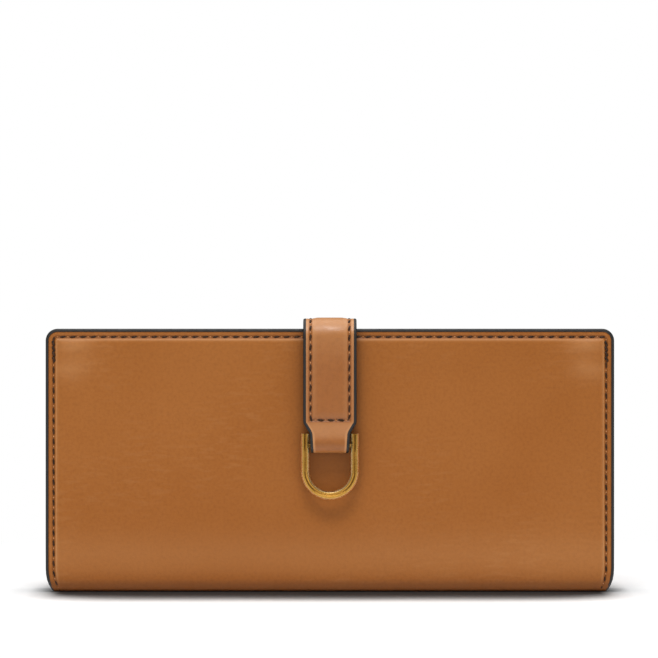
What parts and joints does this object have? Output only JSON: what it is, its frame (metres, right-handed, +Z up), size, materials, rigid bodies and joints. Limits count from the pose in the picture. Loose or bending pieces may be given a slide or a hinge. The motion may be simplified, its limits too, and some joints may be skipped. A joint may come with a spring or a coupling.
{
  "type": "long wallet",
  "caption": "Long bifold leather wallet standing closed on its spine, with a strap over the opening edge that ends in a swinging brass U ring, card slots and a zipped coin pocket inside.",
  "frame": {"origin": "middle of the flat spine that the closed wallet stands on", "axes": "+X along the wallet, -Y towards the front cover with the ring, +Z up towards the opening edge"},
  "size_m": [0.19, 0.024, 0.0914],
  "materials": {
    "cover_leather": "semi-matte tan leather with a dark painted edge",
    "strap_leather": "semi-matte tan leather with a dark painted edge",
    "pocket_leather": "smooth dark brown leather",
    "lining": "dark brown twill",
    "board": "grey stiffening board",
    "zip_tape": "woven dark brown tape",
    "zip_metal": "antique brass",
    "ring_brass": "antique brass, polished on its high edges",
    "steel": "plain steel",
    "magnet_rubber": "rubber-bonded magnet"
  },
  "bodies": {
    "back": {"back_cover": "cover_leather", "back_board": "board", "back_lining": "lining", "spine_lining": "lining", "bill_panel": "pocket_leather", "coin_pocket_back": "pocket_leather", "coin_front_lower": "pocket_leather", "coin_front_upper": "pocket_leather", "zip_tape_lower": "zip_tape", "zip_tape_upper": "zip_tape", "zip_teeth_lower": "zip_metal", "zip_teeth_upper": "zip_metal", "zip_stops": "zip_metal", "strap_end_leather": "strap_leather", "strap_end_backing": "strap_leather"},
    "front": {"front_cover": "cover_leather", "front_board": "board", "front_lining": "lining", "catch_plate": "steel", "slip_panel": "pocket_leather", "card_strip_1": "pocket_leather", "card_strip_2": "pocket_leather", "card_strip_3": "pocket_leather", "card_strip_4": "pocket_leather"},
    "strap_bridge": {"bridge_leather": "strap_leather", "bridge_backing": "strap_leather"},
    "strap_tab": {"tab_leather": "strap_leather", "tab_backing": "strap_leather", "tab_magnet": "magnet_rubber", "magnet_patch": "strap_leather"},
    "ring": {"pull_ring": "ring_brass", "ring_pin": "ring_brass"},
    "slider": {"zip_slider": "zip_metal"},
    "zip_handle": {"zip_pull": "zip_metal"}
  },
  "joints": [
    {"name": "front_fold", "type": "hinge", "parent": "back", "child": "front", "pos_m": [0, -0.00625, 0.00125], "axis": [1, 0, 0], "range_deg": [0, 90]},
    {"name": "strap_bridge_lift", "type": "hinge", "parent": "back", "child": "strap_bridge", "pos_m": [0, 0.0079, 0.0896], "axis": [-1, 0, 0], "range_deg": [0, 225], "deforming": ["bridge_leather", "bridge_backing"]},
    {"name": "strap_tab_lift", "type": "hinge", "parent": "strap_bridge", "child": "strap_tab", "pos_m": [0, -0.0097, 0.0887], "axis": [-1, 0, 0], "range_deg": [0, 126], "deforming": ["tab_leather", "tab_backing", "tab_magnet", "magnet_patch"]},
    {"name": "ring_swing", "type": "hinge", "parent": "strap_tab", "child": "ring", "pos_m": [0, -0.0119, 0.04905], "axis": [-1, 0, 0], "range_deg": [-8, 150]},
    {"name": "zip_slide", "type": "slide", "parent": "back", "child": "slider", "axis": [-1, 0, 0], "range_m": [0, 0.136]},
    {"name": "zip_pull_swing", "type": "hinge", "parent": "slider", "child": "zip_handle", "pos_m": [0.068, 0.00135, 0.069], "axis": [0, 0, 1], "range_deg": [0, 12]}
  ],
  "couplings": [
    {"joint": "strap_bridge_lift", "follows": "front_fold", "ratio": 2.5},
    {"joint": "strap_tab_lift", "follows": "front_fold", "ratio": 1.4}
  ]
}
